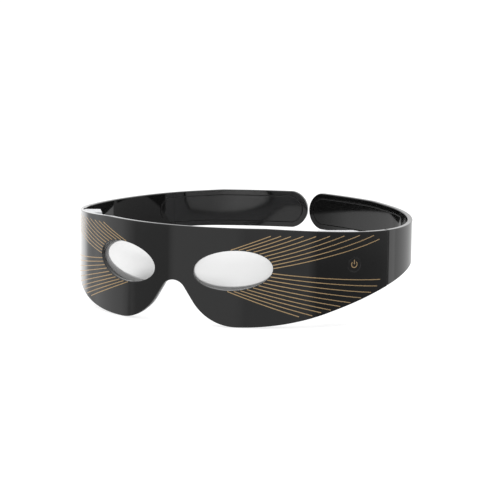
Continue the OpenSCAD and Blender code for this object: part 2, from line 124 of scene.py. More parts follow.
symbol_r, symbol_w = 1.75, 0.45
slot_w, slot_h, slot_x, slot_y, slot_low, slot_top = 9.24, 3.5, -8, 6.75, 2, 14.3
cover_length, cover_margin, cover_cap = 78, 2.6, 7
cover_floor, cover_gap, cover_play = 1.5, 0.25, 0.1
spring_depth, spring_t, spring_h, spring_drop, spring_to_tip = 1.15, 0.3, 8, 13, 11
bend_length, cap_spare = 23, 0.15

# Radii of the rounded edges
shell_edge, arm_edge, recess_edge, cover_edge, spring_edge = 0.3, 0.45, 0.12, 0.25, 0.05
liner_edge, well_edge, head_edge, cross_edge, shank_edge = 0.35, 0.1, 0.22, 0.04, 0.1
cup_edge, lens_edge, cap_edge, flange_edge, inlay_edge = 0.25, 0.15, 0.18, 0.08, 0.03

# Spacing of the meshes' points, and how many points are measured at a time
edge_step, row_step, slope_step = 1.2, 0.25, 0.02
face_step, liner_step, key_step = (1.6, 2.4), (1.4, 1.6), (0.7, 0.7)
inlay_step, screw_step = (0.5, 0.5), (0.4, 0.4)
nose_zone = (-13, 13, 0.6)
batch = 2000

front_s = front_r * front_sweep
temple_s = front_s + temple_r * temple_sweep
rear_heading = front_sweep + temple_sweep
seam_s = front_s + temple_r * (seam_heading - front_sweep)
front_y = cad_box[0].y / MM
front_c = (0, front_y + front_r)
temple_c = ((front_r - temple_r) * sin(front_sweep), front_c[1] - (front_r - temple_r) * cos(front_sweep))
rear_c = (temple_c[0] + (temple_r - rear_r) * sin(rear_heading),
          temple_c[1] - (temple_r - rear_r) * cos(rear_heading))
tip_heading = pi - asin((tip_gap / 2 - rear_c[0]) / rear_r)
tip_s = temple_s + rear_r * (tip_heading - rear_heading)
tip_round = arm_h / 2 + cap_spare
saddle_r = ((saddle_length / 2) ** 2 + saddle_dip ** 2) / (2 * saddle_dip)
saddle_y = front_y + saddle_start + saddle_length / 2
arm_z = band_h - arm_h
liner_s = seam_s - liner_to_seam
key_s = seam_s - key_to_seam
key_z = band_h - key_drop
eye_z = band_h - eye_drop
pod_front = key_s - pod_reach


# The band: s is the distance along the outer surface from the nose, d the depth inwards from it
def arc(t):
    """Plan centre, radius and heading of the band at distance t from the nose."""
    zone = [t < front_s, t < temple_s]
    x = np.select(zone, [front_c[0], temple_c[0]], rear_c[0])
    y = np.select(zone, [front_c[1], temple_c[1]], rear_c[1])
    radius = np.select(zone, [front_r, temple_r], rear_r)
    turn = np.select(zone, [t / front_r, front_sweep + (t - front_s) / temple_r],
                     rear_heading + (t - temple_s) / rear_r)
    return x, y, radius, turn


def side(s):
    """1 on the wearer's left, -1 on the right."""
    return np.where(np.asarray(s) < 0, -1, 1)


def place(s, z, d=0):
    """Point at station s, height z and depth d, in metres."""
    s, z, d = np.broadcast_arrays(np.asarray(s, float), z, d)
    x, y, radius, turn = arc(abs(s))
    reach = radius - d
    return np.stack([side(s) * (x + reach * np.sin(turn)), y - reach * np.cos(turn), z], -1) * MM


def outward(s):
    """Unit vector out of the band at a station."""
    turn = arc(abs(s))[3]
    return np.stack([side(s) * np.sin(turn), -np.cos(turn), 0 * turn], -1)


def along(s):
    """Unit vector along the band towards higher stations."""
    turn = arc(abs(s))[3]
    return np.stack([np.cos(turn), side(s) * np.sin(turn), 0 * turn], -1)


def square_to(s0, radius):
    """Placing of a wall that runs straight in, square to the band at station s0."""
    def deep(s, z, d):
        return place(s0 + radius * np.arcsin(radius * np.sin((s - s0) / radius) / (radius - d)), z, d)
    return deep


def tangent_ends(a, ra, b, rb):
    """Ends of the straight that joins an arch over a to a hollow under b."""
    u = atan2(b[1] - a[1], b[0] - a[0]) + acos(min(1, (ra + rb) / hypot(b[0] - a[0], b[1] - a[1])))
    return (a[0] + ra * cos(u), a[1] + ra * sin(u)), (b[0] - rb * cos(u), b[1] - rb * sin(u))


arch_c = (0, band_h - bridge_h - arch_r)
nose_a, nose_b = tangent_ends(arch_c, arch_r, (lobe_s, lobe_r), lobe_r)
sweep_b, sweep_a = tangent_ends((-shoulder_s, arm_z - shoulder_r), shoulder_r, (-lobe_s, cheek_r), cheek_r)


def ramp(a, b, t):
    """Height at t of the straight through a and b."""
    return a[1] + (b[1] - a[1]) * (t - a[0]) / (b[0] - a[0])


def half_chord(r, x):
    """Half the chord of a circle at distance x from its centre, or 0 beyond the circle."""
    return np.sqrt(np.maximum(r ** 2 - x ** 2, 0))


def low(s):
    """Height of the band's lower edge."""
    t = abs(s)
    zones = [t < nose_a[0], t < nose_b[0], t < lobe_s, t < -sweep_a[0], t < -sweep_b[0], t < shoulder_s]
    heights = [arch_c[1] + half_chord(arch_r, t), ramp(nose_a, nose_b, t),
               lobe_r - half_chord(lobe_r, lobe_s - t), cheek_r - half_chord(cheek_r, t - lobe_s),
               ramp(sweep_a, sweep_b, -t), arm_z - shoulder_r + half_chord(shoulder_r, shoulder_s - t)]
    return np.select(zones, heights, arm_z)


def top(s):
    """Height of the band's top edge."""
    y = place(s, 0)[..., 1] / MM - saddle_y
    saddle = band_h - saddle_dip + saddle_r - half_chord(saddle_r, y)
    return np.where(abs(y) > saddle_length / 2, band_h, saddle)


def low_edge(s, inset):
    """Points of the lower edge moved square to the edge by inset."""
    a = np.arctan((low(s + slope_step) - low(s - slope_step)) / (2 * slope_step))
    return np.stack([s - inset * np.sin(a), low(s) + inset * np.cos(a)], -1)


def ease(x):
    """0 up to 0, 1 from 1, and a smooth rise between."""
    x = np.clip(x, 0, 1)
    return x * x * (3 - 2 * x)


def level(depth):
    """A depth that is the same everywhere."""
    return lambda s, z: depth + 0 * s


# Closed loops in (s, z); the material is on the left of the way they run
def unit(v):
    return v / np.linalg.norm(v, axis=1)[:, None]


def mitre(loop):
    """Step at each point that moves the whole loop by one millimetre to its left."""
    back, ahead = unit(loop - np.roll(loop, 1, 0)), unit(np.roll(loop, -1, 0) - loop)
    both = back + ahead
    return 2 * np.stack([-both[:, 1], both[:, 0]], 1) / (both ** 2).sum(1)[:, None]


def softened(loop, r, corner=0.5, steps=5):
    """Loop with each corner sharper than the given angle replaced by an arc of radius r."""
    out = []
    for i, p in enumerate(loop):
        u, v = unit(np.array([p - loop[i - 1], loop[(i + 1) % len(loop)] - p]))
        turn = atan2(u[0] * v[1] - u[1] * v[0], u @ v)
        if abs(turn) < corner:
            out.append(p)
            continue
        inwards = np.array([-u[1], u[0]]) * (1 if turn > 0 else -1)
        start = p - u * r * tan(abs(turn) / 2)
        for a in np.linspace(0, abs(turn), steps + 1):
            out.append(start + inwards * r * (1 - cos(a)) + u * r * sin(a))
    return np.array(out)


def spread(a, b, step):
    """Even values from a to b, about a step apart."""
    return np.linspace(a, b, max(2, round(abs(b - a) / step) + 1))


def stations(s0, s1, step, fine=()):
    """Stations between two ends, closer together in each fine zone (from, to, step)."""
    zones = [zone for zone in fine if zone[0] > s0 + 1 and zone[1] < s1 - 1]
    out = []
    for s in spread(s0, s1, step)[1:-1]:
        if not any(a - step / 3 < s < b + step / 3 for a, b, _ in zones):
            out.append(s)
    for a, b, small in zones:
        out += list(spread(a, b, small))
    return np.array(sorted(out))


def band_loop(s0, s1, top_inset=0, low_inset=0, fine=(nose_zone,), corner_r=0.5):
    """Outline of the band between two stations, anticlockwise seen from outside."""
    between = stations(s0, s1, edge_step, fine)
    ends = np.array([s0, s1])
    foot_ends = np.stack([ends, low_edge(ends, low_inset)[:, 1]], 1)
    foot = np.concatenate([foot_ends[:1], low_edge(between, low_inset), foot_ends[1:]])
    brow_s = np.concatenate([[s1], between[::-1], [s0]])
    brow = np.stack([brow_s, top(brow_s) - top_inset], 1)
    rise = [(s1, z) for z in spread(foot[-1][1], brow[0][1], edge_step)[1:-1]]
    fall = [(s0, z) for z in spread(brow[-1][1], foot[0][1], edge_step)[1:-1]]
    return softened(np.concatenate([foot, rise, brow, fall]), corner_r)


def capped_loop(s0, s1, inset, front_round, rear_round, corner_r=0.7, steps=14):
    """Outline between two stations whose ends are rounded, each as (radius, height of its centre).

    The front end is square where front_round is None."""
    bend = 1 - np.cos(np.arange(1, steps + 1) * pi / (2 * steps))
    heads = s0 + bend * front_round[0] if front_round else np.array([s0 + 1])
    tails = s1 - bend[::-1] * rear_round[0]
    s = np.concatenate([[s0], heads, stations(heads[-1], tails[0], edge_step), tails, [s1]])
    high, foot = top(s) - inset, low(s) + inset
    for cap, end in ((front_round, s0), (rear_round, s1)):
        if cap:
            r, middle = cap
            centre = end + r if end == s0 else end - r
            beyond = s < centre if end == s0 else s > centre
            bow = np.where(beyond, half_chord(r, s - centre), band_h)
            high, foot = np.minimum(high, middle + bow), np.maximum(foot, middle - bow)
    above = np.stack([s, high], 1)[1 if front_round else 0:-1]
    loop = [np.stack([s, foot], 1), above[::-1]]
    if not front_round:
        loop.append([(s0, z) for z in spread(high[0], foot[0], edge_step)[1:-1]])
    return softened(np.concatenate(loop), corner_r)


def tilted(x, y):
    """Place about the eye's centre of a point given along the oval's own axes."""
    return np.stack([x * cos(eye_tilt) - y * sin(eye_tilt), x * sin(eye_tilt) + y * cos(eye_tilt)], -1)


def oval(grow, count=112):
    """Outline of the eye opening about its centre, anticlockwise."""
    turn = np.arange(count) * 2 * pi / count
    return tilted((eye_a + grow) * np.cos(turn), (eye_b + grow) * np.sin(turn))


def eye_loop(hand, grow=0):
    """The eye opening on the outer surface, clockwise; hand is 1 on the wearer's left, -1 on the right."""
    flat = oval(grow)
    loop = np.stack([hand * (eye_s + front_r * np.arcsin(flat[:, 0] / front_r)), eye_z + flat[:, 1]], 1)
    return loop[::-hand]


def round_loop(s, z, r, count=48):
    """A circle on the band, anticlockwise."""
    turn = np.arange(count) * 2 * pi / count
    return np.stack([s + r * np.cos(turn), z + r * np.sin(turn)], 1)


def inside(points, loops):
    """Which points lie inside an odd number of the loops."""
    odd = np.zeros(len(points), bool)
    y, x = points[:, 1, None], points[:, 0, None]
    tiny = 1e-12
    for loop in loops:
        a, b = loop, np.roll(loop, -1, 0)
        rise = np.where(b[:, 1] == a[:, 1], tiny, b[:, 1] - a[:, 1])
        meets = a[:, 0] + (y - a[:, 1]) * (b[:, 0] - a[:, 0]) / rise
        odd ^= (((a[:, 1] > y) != (b[:, 1] > y)) & (x < meets)).sum(1) % 2 == 1
    return odd


def nearest(points, line):
    """Distance from each point to the nearest point of a line."""
    parts = np.array_split(points, len(points) // batch + 1)
    near = [np.hypot(*(part[:, None] - line[None]).transpose(2, 0, 1)).min(1) for part in parts]
    return np.concatenate(near)


def grid(loop, step_s, step_z, keep_off=0.6):
    """Spots that fill a loop's box evenly, each with the distance it keeps from every edge."""
    lowest, highest = loop.min(0), loop.max(0)
    spots = [(s, z) for s in spread(lowest[0], highest[0], step_s)[1:-1]
             for z in spread(lowest[1], highest[1], step_z)[1:-1]]
    clear = np.full(len(spots), keep_off * min(step_s, step_z))
    return np.column_stack([np.array(spots).reshape(-1, 2), clear])


# Meshes
class Mesh:
    """Points, normals and faces of one piece while it is made."""

    def __init__(self):
        self.points, self.normals, self.faces = [], [], []

    def ring(self, points, normals=None):
        """Adds points, and returns their numbers."""
        first = len(self.points)
        self.points += list(points)
        self.normals += list(normals if normals is not None else [])
        return np.arange(first, len(self.points))

    def strips(self, rings):
        """Faces between one closed ring and the next, each one step deeper than the last."""
        for a, b in zip(rings, rings[1:]):
            for i in range(len(a)):
                j = (i + 1) % len(a)
                self.faces.append((a[i], b[i], b[j], a[j]))

    def fill(self, edges, spots, depth, facing, merge=1e-7):
        """The face inside some edges (loop, ring) at the given depth; facing is 1 outwards, -1 inwards."""
        loops = [edge[0] for edge in edges]
        flat = np.concatenate(loops)
        spots = spots[inside(spots[:, :2], loops)]
        spots = spots[nearest(spots[:, :2], flat) > spots[:, 2], :2]
        order = np.concatenate([edge[1] for edge in edges] + [self.ring(*skin(depth, *spots.T, facing))])
        borders, first = [], 0
        for loop in loops:
            borders += [(first + i, first + (i + 1) % len(loop)) for i in range(len(loop))]
            first += len(loop)
        spots = np.concatenate([flat, spots])
        cut = geometry.delaunay_2d_cdt([Vector(p) for p in spots], borders, [], 0, merge)
        origin = np.array([o[0] for o in cut[3]])
        faces = origin[np.array(cut[2])]
        faces = faces[inside(spots[faces].mean(1), loops)]
        a, b, c = spots[faces].transpose(1, 2, 0)
        size = (b - a)[0] * (c - a)[1] - (b - a)[1] * (c - a)[0]
        faces = np.where((size > 0)[:, None] == (facing > 0), faces, faces[:, ::-1])
        self.faces += [tuple(f) for f in order[faces]]

    def build(self, name, material, sharp=None):
        """The piece: with its own normals, or smooth up to the sharp angle in degrees."""
        data = bpy.data.meshes.new(name)
        data.from_pydata(self.points, [], [tuple(int(i) for i in f) for f in self.faces])
        if sharp:
            work = bmesh.new()
            work.from_mesh(data)
            bmesh.ops.recalc_face_normals(work, faces=work.faces)
            work.to_mesh(data)
        data.shade_smooth()
        if sharp:
            data.set_sharp_from_angle(angle=radians(sharp))
        else:
            data.normals_split_custom_set_from_vertices(self.normals)
        data.materials.append(material)
        return put(name, data)


def skin(depth, s, z, facing):
    """Points and normals of the surface that lies at depth(s, z)."""
    here = depth(s, z)
    slope_s = (depth(s + slope_step, z) - depth(s - slope_step, z)) / (2 * slope_step)
    slope_z = (depth(s, z + slope_step) - depth(s, z - slope_step)) / (2 * slope_step)
    radius = arc(abs(s))[2]
    normal = outward(s) + along(s) * (slope_s * radius / (radius - here))[:, None] + Z * slope_z[:, None]
    return place(s, z, here), unit(normal) * facing


def edge_ring(mesh, loop, inset, depth, lean, deep):
    """Ring inset from a loop; its normals lean from outwards (0) past away from the material (pi / 2)."""
    reach = mitre(loop)
    spots = loop + reach * inset
    away = unit(-reach)
    s = loop[:, 0]
    across = along(s) * away[:, :1] + Z * away[:, 1:]
    points = deep(*spots.T, depth(*spots.T))
    return spots, mesh.ring(points, outward(s) * cos(lean) + across * sin(lean))


def rim(mesh, loop, d0, d1, r, deep=place, steps=4):
    """Wall round a loop from depth d0 to depth d1, rounded at both ends; returns its two ends."""
    rings = []
    for half, base in enumerate((d0, d1)):
        for k in range(steps + 1):
            a = (k / steps + half) * pi / 2
            shift = r * (1 - cos(a) - 2 * half)
            rings.append(edge_ring(mesh, loop, r * (1 - sin(a)), lambda s, z: base(s, z) + shift, a, deep))
    mesh.strips([ring for _, ring in rings])
    return rings[0], rings[-1]


def sink(mesh, loop, d1, floor, r, spots, steps=3):
    """Recess in the inner face, inside a clockwise loop, up to depth floor; returns its mouth."""
    rings = []
    for a in np.linspace(0, pi / 2, steps + 1):
        rings.append(edge_ring(mesh, loop, r * (1 - sin(a)), lambda s, z: d1(s, z) - r * (1 - cos(a)),
                               pi - a, place))
    for a in np.linspace(0, pi / 2, steps + 1):
        rings.append(edge_ring(mesh, loop, -r * (1 - cos(a)), lambda s, z: floor(s, z) + r * (1 - sin(a)),
                               pi / 2 + a, place))
    mesh.strips([ring for _, ring in rings[::-1]])
    mesh.fill([rings[-1]], spots, floor, -1)
    return rings[0]


def slab(mesh, loops, d0, d1, r, spots, deeps=(), recesses=()):
    """Piece of the band between two depths, with every edge rounded."""
    deeps = list(deeps) or [place] * len(loops)
    ends = [rim(mesh, loop, d0, d1, r, deep) for loop, deep in zip(loops, deeps)]
    inner = [end[1] for end in ends]
    inner += [sink(mesh, loop, d1, floor, recess_r, spots) for loop, floor, recess_r in recesses]
    mesh.fill([end[0] for end in ends], spots, d0, 1)
    mesh.fill(inner, spots, d1, -1)


# Shader groups shared by the finishes
def group(name, inputs, outputs):
    """Empty shader group with a value input for each default and an output for each kind."""
    tree = bpy.data.node_groups.new(name, "ShaderNodeTree")
    for label, value in inputs.items():
        socket = tree.interface.new_socket(label, in_out="INPUT", socket_type="NodeSocketFloat")
        socket.default_value = value
    for label, kind in outputs.items():
        tree.interface.new_socket(label, in_out="OUTPUT", socket_type="NodeSocket" + kind)
    return tree, tree.nodes.new("NodeGroupInput"), tree.nodes.new("NodeGroupOutput")


def feed(tree, socket, value):
    """Links a socket to another node's output, or sets its value."""
    if isinstance(value, bpy.types.NodeSocket):
        tree.links.new(value, socket)
    else:
        socket.default_value = value


def add(tree, kind, settings=(), **inputs):
    """Shader node with its settings made and its inputs linked or set.

    An input goes by its label, or by its number as i0, i1 and so on."""
    made = tree.nodes.new("ShaderNode" + kind)
    for label, value in dict(settings).items():
        setattr(made, label, value)
    for label, value in inputs.items():
        numbered = label[0] == "i" and label[1:].isdigit()
        feed(tree, made.inputs[int(label[1:]) if numbered else label], value)
    return made


def noise(tree, spot, scale, detail=3):
    """Cloudy value at each spot."""
    return add(tree, "TexNoise", Vector=spot, Scale=scale, Detail=detail).outputs["Fac"]


def mapped(tree, value, low_out, high_out, low_in=0.3, high_in=0.7):
    """Value taken from one range to another."""
    made = add(tree, "MapRange", Value=value)
    ends = {"From Min": low_in, "From Max": high_in, "To Min": low_out, "To Max": high_out}
    for label, end in ends.items():
        feed(tree, made.inputs[label], end)
    return made.outputs["Result"]


def gloss_and_bump(tree, inputs, outputs, gloss, height, strength, reach=0.0001):
    """Completes a group: a roughness from Low to High by gloss, and bumps of reach metres by height."""
    rough = mapped(tree, gloss, inputs.outputs["Low"], inputs.outputs["High"])
    tree.links.new(rough, outputs.inputs["Roughness"])
    bump = add(tree, "Bump", Height=height, Strength=inputs.outputs[strength], Distance=reach)
    tree.links.new(bump.outputs["Normal"], outputs.inputs["Normal"])
    return tree


def polish_group():
    """Polished plastic: faint wiping marks in the gloss and the slight waviness of a moulding."""
    tree, inputs, outputs = group("polish", {"Low": 0.03, "High": 0.06, "Wave": 0.02},
                                  {"Roughness": "Float", "Normal": "Vector"})
    spot = add(tree, "TexCoord").outputs["Object"]
    stretched = add(tree, "Mapping", Vector=spot, Scale=(1, 1, 6)).outputs["Vector"]
    wipes = noise(tree, stretched, scale=220, detail=6)
    waves = noise(tree, spot, scale=260, detail=1)
    return gloss_and_bump(tree, inputs, outputs, wipes, waves, "Wave")


def grain_group():
    """Fine moulded texture: a fleck that tints the colour, a roughness and a normal."""
    tree, inputs, outputs = group("grain", {"Scale": 1800, "Low": 0.4, "High": 0.55, "Depth": 0.3},
                                  {"Fleck": "Float", "Roughness": "Float", "Normal": "Vector"})
    spot = add(tree, "TexCoord").outputs["Object"]
    fine = noise(tree, spot, inputs.outputs["Scale"], detail=4)
    broad = noise(tree, spot, scale=45, detail=2)
    tree.links.new(broad, outputs.inputs["Fleck"])
    return gloss_and_bump(tree, inputs, outputs, fine, fine, "Depth")


def rolled_group():
    """Rolled or brushed metal: fine lines along Z in the gloss and the height."""
    tree, inputs, outputs = group("rolled", {"Lines": 4000, "Low": 0.2, "High": 0.4, "Depth": 0.2},
                                  {"Fleck": "Float", "Roughness": "Float", "Normal": "Vector"})
    spot = add(tree, "TexCoord").outputs["Object"]
    stretched = add(tree, "Mapping", Vector=spot, Scale=(1, 1, 0.03)).outputs["Vector"]
    lines = noise(tree, stretched, inputs.outputs["Lines"], detail=2)
    tree.links.new(lines, outputs.inputs["Fleck"])
    return gloss_and_bump(tree, inputs, outputs, lines, lines, "Depth", reach=0.00005)


polish, grain, rolled = polish_group(), grain_group(), rolled_group()


def finish(name, effect, dark, light, values, **constants):
    """Material between two tones by the effect's fleck, with the effect's gloss and normal."""
    made = bpy.data.materials.new(name)
    made.use_nodes = True
    tree = made.node_tree
    shader = tree.nodes["Principled BSDF"]
    for label, value in constants.items():
        shader.inputs[label].default_value = value
    surface = tree.nodes.new("ShaderNodeGroup")
    surface.node_tree = effect
    for label, value in values.items():
        surface.inputs[label].default_value = value
    tones = add(tree, "ValToRGB")
    for stop, spot, tone in zip(tones.color_ramp.elements, (0.35, 0.65), (dark, light)):
        stop.position, stop.color = spot, (*tone, 1)
    if "Fleck" in surface.outputs:
        fleck = surface.outputs["Fleck"]
    else:
        fleck = noise(tree, add(tree, "TexCoord").outputs["Object"], scale=30)
    tree.links.new(fleck, tones.inputs["Fac"])
    tree.links.new(tones.outputs["Color"], shader.inputs["Base Color"])
    tree.links.new(surface.outputs["Roughness"], shader.inputs["Roughness"])
    tree.links.new(surface.outputs["Normal"], shader.inputs["Normal"])
    return made


def grey(v):
    return (v, v, v)


polished_black = finish("polished_black", polish, grey(0.0042), grey(0.0056),
                        {"Low": 0.03, "High": 0.045}, IOR=1.5)
cover_black = finish("cover_black", polish, grey(0.0045), grey(0.006), {"Low": 0.05, "High": 0.08}, IOR=1.5)
key_black = finish("key_black", polish, grey(0.005), grey(0.0065), {"Low": 0.05, "High": 0.07}, IOR=1.5)
satin_gold = finish("satin_gold", grain, (0.44, 0.31, 0.17), (0.51, 0.36, 0.2),
                    {"Scale": 5000, "Low": 0.3, "High": 0.4, "Depth": 0.25}, Metallic=1.0)
liner_grey = finish("liner_grey", grain, (0.60, 0.605, 0.62), (0.64, 0.645, 0.66),
                    {"Scale": 2600, "Low": 0.42, "High": 0.6, "Depth": 0.5}, IOR=1.46)
cup_grey = finish("cup_grey", grain, grey(0.07), grey(0.09),
                  {"Scale": 3000, "Low": 0.5, "High": 0.62, "Depth": 0.15}, IOR=1.25)
window_white = finish("window_white", grain, grey(0.94), grey(0.96),
                      {"Scale": 900, "Low": 0.08, "High": 0.12, "Depth": 0.01}, Metallic=0.7)
board_white = finish("board_white", grain, (0.78, 0.78, 0.74), (0.84, 0.84, 0.8),
                     {"Scale": 1500, "Low": 0.35, "High": 0.5, "Depth": 0.2})
board_green = finish("board_green", grain, (0.012, 0.07, 0.035), (0.02, 0.1, 0.05),
                     {"Scale": 1500, "Low": 0.3, "High": 0.45, "Depth": 0.3})
red_lens = finish("red_lens", grain, (0.5, 0.02, 0.01), (0.6, 0.04, 0.02),
                  {"Scale": 900, "Low": 0.1, "High": 0.16, "Depth": 0.02})
dark_lens = finish("dark_lens", grain, (0.06, 0.045, 0.08), (0.09, 0.07, 0.11),
                   {"Scale": 900, "Low": 0.1, "High": 0.16, "Depth": 0.02})
flex_amber = finish("flex_amber", grain, (0.42, 0.19, 0.04), (0.5, 0.24, 0.06),
                    {"Scale": 1200, "Low": 0.25, "High": 0.4, "Depth": 0.1})
chip_black = finish("chip_black", grain, grey(0.014), grey(0.02), {"Scale": 4000, "Low": 0.5, "High": 0.65})
rolled_steel = finish("rolled_steel", rolled, grey(0.5), grey(0.6), {"Low": 0.22, "High": 0.36},
                      Metallic=1.0)
cell_foil = finish("cell_foil", rolled, (0.55, 0.56, 0.58), (0.63, 0.64, 0.66),
                   {"Lines": 1500, "Low": 0.3, "High": 0.45}, Metallic=1.0)
foam_grey = finish("foam_grey", grain, grey(0.03), grey(0.06),
                   {"Scale": 1600, "Low": 0.85, "High": 0.95, "Depth": 1})


# The black visor, its wall thickened to the arm's at the seam
def visor_wall(s, z):
    return shell_t + (arm_t - shell_t) * ease(abs(s) - (liner_s + liner_clear))


def visor():
    mesh = Mesh()
    bore = round_loop(key_s, key_z, key_d / 2 + key_gap)[::-1]
    outline = band_loop(fit - seam_s, seam_s - fit)
    loops = [outline, eye_loop(1), eye_loop(-1), bore]
    deeps = [place] + [square_to(hand * eye_s, front_r) for hand in (1, -1)] + [square_to(key_s, temple_r)]
    slab(mesh, loops, level(0), visor_wall, shell_edge, grid(outline, *face_step), deeps)
    piece = mesh.build("visor_skin", polished_black)
    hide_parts("front_shell")
    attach(piece, "visor")


# The arms, and what is let into them
def arm_bend(piece, hand):
    """Bakes the piece's placing into its mesh; the piece is not bent."""
    start, end = (Vector(place(hand * s, arm_z)) for s in (seam_s, seam_s + bend_length))
    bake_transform(piece)


def cover_outline(grow):
    """Outline of the recess for an arm's cover, or of the cover where grow is less than 0."""
    s1 = tip_s - cover_margin + grow
    s0 = s1 - cover_length - 2 * grow
    caps = []
    for s in (s0 + cover_cap, s1 - cover_cap):
        radius = (top(s) - low(s)) / 2 - cover_margin + grow + cap_spare
        caps.append((radius, (top(s) + low(s)) / 2))
    return capped_loop(s0, s1, cover_margin - grow, *caps)


def handed(loop, hand):
    """A loop made for the wearer's left, kept or mirrored, and still anticlockwise."""
    return loop if hand > 0 else (loop * (-1, 1))[::-1]


def arm(hand, name):
    mesh = Mesh()
    outline = handed(capped_loop(seam_s + fit, tip_s, 0, None, (tip_round, band_h - arm_h / 2)), hand)
    recess = handed(cover_outline(0), hand)[::-1]
    slab(mesh, [outline], level(0), level(arm_t), arm_edge, grid(outline, *face_step),
         recesses=[(recess, level(cover_floor), recess_edge)])
    skin_piece = mesh.build("arm_skin_" + name, polished_black)
    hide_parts("arm_" + name)
    arm_bend(skin_piece, hand)

    mesh = Mesh()
    outline = handed(cover_outline(-cover_gap), hand)
    slab(mesh, [outline], level(cover_floor + cover_play), level(arm_t - cover_play), cover_edge,
         grid(outline, *face_step))
    panel = mesh.build("arm_panel_" + name, cover_black)
    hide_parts("arm_cover_" + name)
    arm_bend(panel, hand)

    mesh = Mesh()
    s = spread(seam_s + fit, tip_s - spring_to_tip, edge_step)
    foot, high = band_h - spring_drop - spring_h / 2, band_h - spring_drop + spring_h / 2
    edges = [np.stack([s, 0 * s + foot], 1), np.stack([s[::-1], 0 * s + high], 1)]
    outline = handed(np.concatenate(edges), hand)
    slab(mesh, [outline], level(spring_depth), level(spring_depth + spring_t), spring_edge,
         grid(outline, *face_step))
    spring = mesh.build("spring_band_" + name, rolled_steel)
    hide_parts("spring_strip_" + name)
    arm_bend(spring, hand)


# The grey liner: a lip behind the shell's edges, a raised face and two pods at the temples
edge_line = low_edge(np.arange(-seam_s, seam_s, row_step), 0)


def to_low_edge(s, z):
    """Distance from the band's lower edge."""
    return nearest(np.stack([s, z], 1), edge_line)


def pod_floor(s):
    """Depth of the pod's flat inner face, which lies square to the band at the key."""
    t = abs(s)
    inwards = -outward(np.array([key_s]))[0]
    ahead = (place(t, 0) - place(key_s, 0)) @ inwards / MM
    return (pod_depth - ahead) / (-outward(t) @ inwards)


def short_of_floor(gap):
    """A depth that ends a gap short of the pod's inner face."""
    return lambda s, z: pod_floor(s) - gap


def raised(s, z, top_inset, low_inset, soft):
    """1 on the raised face and 0 on the lip, with a soft step between."""
    from_top = top(s) - z - top_inset
    from_low = to_low_edge(s, z) - low_inset
    return ease(np.minimum(from_top, from_low) / soft)


def liner_face(s, z):
    """Inner side of the liner, towards the wearer."""
    depth = lip_depth + (face_depth - lip_depth) * raised(s, z, face_top, face_low, face_soft)
    return depth + (pod_floor(s) - depth) * ease((abs(s) - pod_front) / face_soft)


def liner_cavity(s, z):
    """Outer side of the liner: a rim round a hollow that holds the boards and the pods' contents."""
    wall, soft, depth = liner_wall, cavity_soft, lip_depth - lip_web
    depth = depth + (face_depth - wall - depth) * raised(s, z, face_top + wall, face_low + wall, soft)
    depth = depth + (pod_floor(s) - wall - depth) * ease((abs(s) - pod_front - wall) / soft)
    hollow = raised(s, z, lip_top + wall, lip_low + wall, soft) * ease((liner_s - wall - abs(s)) / soft)
    return shell_t + fit + (depth - shell_t - fit) * hollow


def liner_spots(outline, pods):
    """Spots for the liner's faces: rows along its slopes, columns at its pods, and a grid between."""
    s = stations(-liner_s, liner_s, edge_step, pods)
    first_inset, inset_end, top_rows = 0.15, 4.6, 12
    low_insets = np.arange(first_inset, inset_end, row_step)
    top_insets = low_insets[:top_rows]
    rows = [low_edge(s, lip_low + inset) for inset in low_insets]
    rows += [np.stack([s, top(s) - lip_top - inset], 1) for inset in top_insets]
    column_low, column_top, column_step = 4.4, 3.2, 0.8
    for first, last, step in pods:
        for x in spread(first, last, step):
            foot, high = low(np.array([x]))[0] + column_low, top(np.array([x]))[0] - column_top
            z = np.arange(foot, high, column_step)
            rows.append(np.stack([0 * z + x, z], 1))
    rows = np.concatenate(rows)
    row_clear, grid_clear, pod_middle, pod_clear = 0.12, 0.4, 0.7, 1.6
    middle = grid(outline, *liner_step)
    past_low = to_low_edge(*middle.T[:2]) - lip_low - low_insets[-1]
    past_top = top(middle[:, 0]) - middle[:, 1] - lip_top - top_insets[-1]
    near_pod = abs(abs(middle[:, 0]) - pod_front - pod_middle) < pod_clear
    middle = middle[(np.minimum(past_low, past_top) > grid_clear) & ~near_pod]
    return np.concatenate([np.column_stack([rows, np.full(len(rows), row_clear)]), middle])


def liner():
    mesh = Mesh()
    right_pod, left_pod = -pod_front - 0.2, pod_front + 0.6
    pods = tuple((middle - 1, middle + 1, row_step) for middle in (right_pod, left_pod))
    outline = band_loop(-liner_s, liner_s, lip_top, lip_low, (nose_zone,) + pods)
    holes = [eye_loop(hand, cup_step + cup_wall + cup_gap) for hand in (1, -1)]
    deeps = [place] + [square_to(hand * eye_s, front_r) for hand in (1, -1)]
    wells = []
    for hand in (1, -1):
        for x, drop in screw_spots:
            mouth = round_loop(hand * (key_s + x), band_h - drop, well_r, 32)[::-1]
            wells.append((mouth, short_of_floor(well_floor), well_edge))
    spots = liner_spots(outline, pods)
    slab(mesh, [outline] + holes, liner_cavity, liner_face, liner_edge, spots, deeps, wells)
    tray = mesh.build("liner_tray", liner_grey)
    port_slot(tray)
    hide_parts("face_liner")
    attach(tray, "visor")


